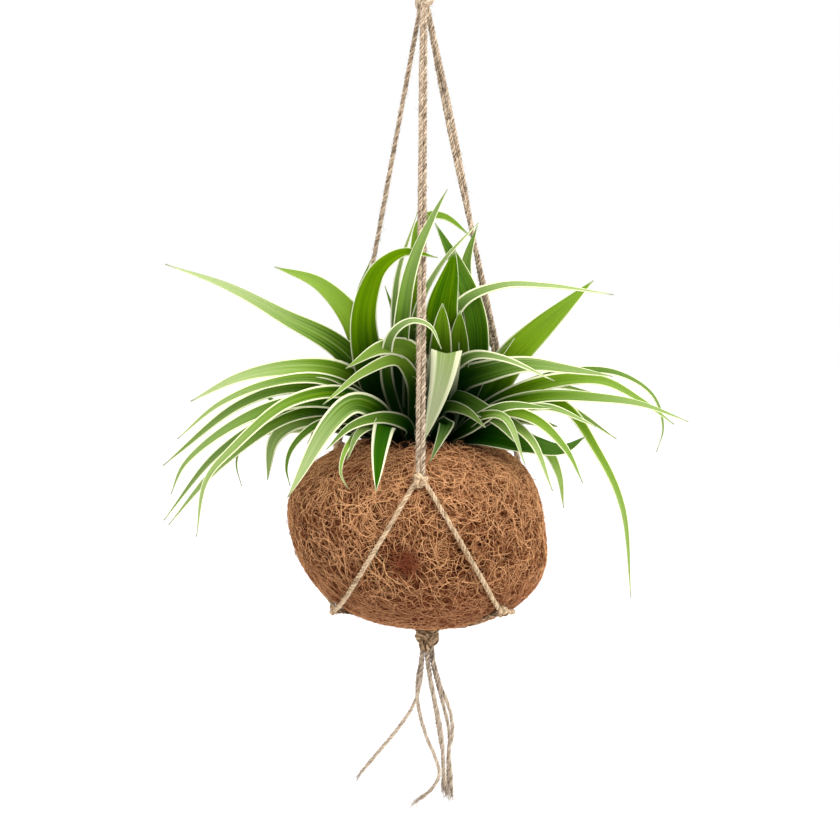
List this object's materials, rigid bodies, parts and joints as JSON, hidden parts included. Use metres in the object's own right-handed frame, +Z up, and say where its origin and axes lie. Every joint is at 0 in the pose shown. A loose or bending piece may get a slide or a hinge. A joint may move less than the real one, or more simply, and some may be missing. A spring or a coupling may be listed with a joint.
{
  "type": "hanging kokedama plant",
  "caption": "Variegated spider plant growing from a soil ball wrapped in coconut fibre, carried in a knotted jute net hanger with a loop above and loose twine tails below.",
  "frame": {"origin": "the point under the top of the hanging loop where it bears on a hook", "axes": "+Z up along the hanging line, -Y towards the front with the front leg of the hanger, +X to the right"},
  "size_m": [0.2977, 0.1901, 0.5176],
  "materials": {
    "leaf": "smooth living leaf, green with cream margins, softly glossy",
    "coir": "matted coconut fibre, rough and curly",
    "soil": "damp dark potting soil, crumbly and matt",
    "jute": "natural twisted jute twine, hairy and matt"
  },
  "bodies": {
    "root": {"top_knot": "jute", "side_knot_front": "jute", "side_knot_right": "jute", "side_knot_left": "jute", "low_knot_right": "jute", "low_knot_back": "jute", "low_knot_left": "jute", "bottom_knot": "jute", "loop_strand_1": "jute", "loop_strand_2": "jute", "loop_strand_3": "jute", "leg_front_strand_a": "jute", "leg_front_strand_b": "jute", "leg_left_strand_a": "jute", "leg_left_strand_b": "jute", "leg_right_strand_a": "jute", "leg_right_strand_b": "jute", "net_front_to_left": "jute", "net_front_to_right": "jute", "net_right_to_right": "jute", "net_right_to_back": "jute", "net_left_to_left": "jute", "net_left_to_back": "jute", "gather_right_strand_a": "jute", "gather_right_strand_b": "jute", "gather_back_strand_a": "jute", "gather_back_strand_b": "jute", "gather_left_strand_a": "jute", "gather_left_strand_b": "jute", "tail_1": "jute", "tail_2": "jute", "tail_3": "jute", "tail_4": "jute", "tail_5": "jute", "tail_6": "jute", "coir_wrap": "coir", "soil_ball": "soil", "spider_plant": "leaf"}
  },
  "joints": []
}
